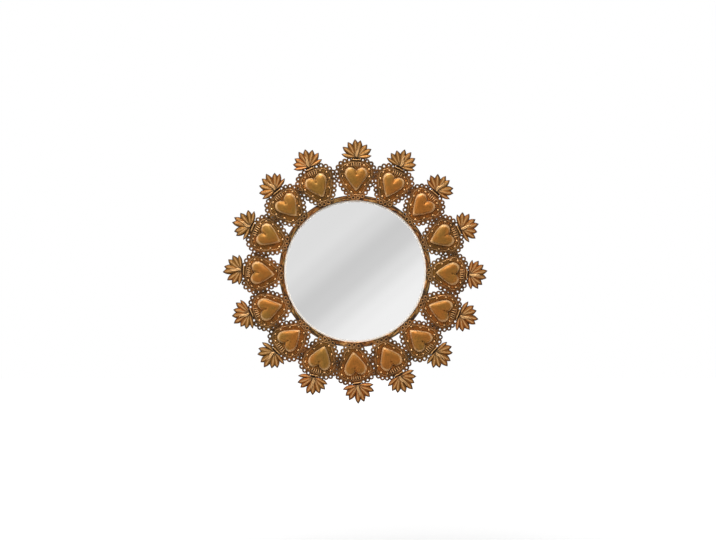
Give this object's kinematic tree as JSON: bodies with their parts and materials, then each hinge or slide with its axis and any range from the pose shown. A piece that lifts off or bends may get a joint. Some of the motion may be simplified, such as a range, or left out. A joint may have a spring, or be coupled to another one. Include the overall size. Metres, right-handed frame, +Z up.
{
  "type": "iron wall mirror",
  "caption": "Round wall mirror in an iron hoop, ringed by pierced iron plaques that each carry a puffed heart under a crest of flames; hangs on a D-ring.",
  "frame": {"origin": "on the axis of the glass, in the plane of the wall that the hoop's rear rim rests on", "axes": "+Y out of the back towards the wall, the glass faces -Y, +Z up, +X right seen from the front"},
  "size_m": [0.6004, 0.0335, 0.6012],
  "materials": {
    "hoop_iron": "brown patina, streaked along the hoop, satin",
    "plate_iron": "copper-brown antique patina, dark in the hollows",
    "heart_gilt": "antique gold, soft shine",
    "flame_gilt": "copper-gold patina, dark tips",
    "weld_metal": "rough dark weld",
    "bare_iron": "dull dark steel",
    "silvered_glass": "polished silvered glass",
    "hardboard": "smooth brown hardboard",
    "plated_steel": "dull zinc plate",
    "screw_brass": "brassed screw"
  },
  "bodies": {
    "frame": {"hoop": "hoop_iron", "mirror_glass": "silvered_glass", "backing_board": "hardboard", "retaining_tabs": "bare_iron", "plate_welds": "weld_metal", "lap_solder": "weld_metal", "hanger_strap": "plated_steel", "hanger_screws": "screw_brass", "heart_plate_01": "plate_iron", "heart_plate_02": "plate_iron", "heart_plate_03": "plate_iron", "heart_plate_04": "plate_iron", "heart_plate_05": "plate_iron", "heart_plate_06": "plate_iron", "heart_plate_07": "plate_iron", "heart_plate_08": "plate_iron", "heart_plate_09": "plate_iron", "heart_plate_10": "plate_iron", "heart_plate_11": "plate_iron", "heart_plate_12": "plate_iron", "heart_plate_13": "plate_iron", "heart_plate_14": "plate_iron", "heart_plate_15": "plate_iron", "heart_plate_16": "plate_iron", "puffed_heart_01": "heart_gilt", "puffed_heart_02": "heart_gilt", "puffed_heart_03": "heart_gilt", "puffed_heart_04": "heart_gilt", "puffed_heart_05": "heart_gilt", "puffed_heart_06": "heart_gilt", "puffed_heart_07": "heart_gilt", "puffed_heart_08": "heart_gilt", "puffed_heart_09": "heart_gilt", "puffed_heart_10": "heart_gilt", "puffed_heart_11": "heart_gilt", "puffed_heart_12": "heart_gilt", "puffed_heart_13": "heart_gilt", "puffed_heart_14": "heart_gilt", "puffed_heart_15": "heart_gilt", "puffed_heart_16": "heart_gilt", "flame_crest_01": "flame_gilt", "flame_crest_02": "flame_gilt", "flame_crest_03": "flame_gilt", "flame_crest_04": "flame_gilt", "flame_crest_05": "flame_gilt", "flame_crest_06": "flame_gilt", "flame_crest_07": "flame_gilt", "flame_crest_08": "flame_gilt", "flame_crest_09": "flame_gilt", "flame_crest_10": "flame_gilt", "flame_crest_11": "flame_gilt", "flame_crest_12": "flame_gilt", "flame_crest_13": "flame_gilt", "flame_crest_14": "flame_gilt", "flame_crest_15": "flame_gilt", "flame_crest_16": "flame_gilt"},
    "hanger_ring": {"hanger_ring": "plated_steel"}
  },
  "joints": [
    {"name": "hanger_ring_hinge", "type": "hinge", "parent": "frame", "child": "hanger_ring", "pos_m": [0, -0.00698, 0.118], "axis": [-1, 0, 0], "range_deg": [0, 170]}
  ]
}
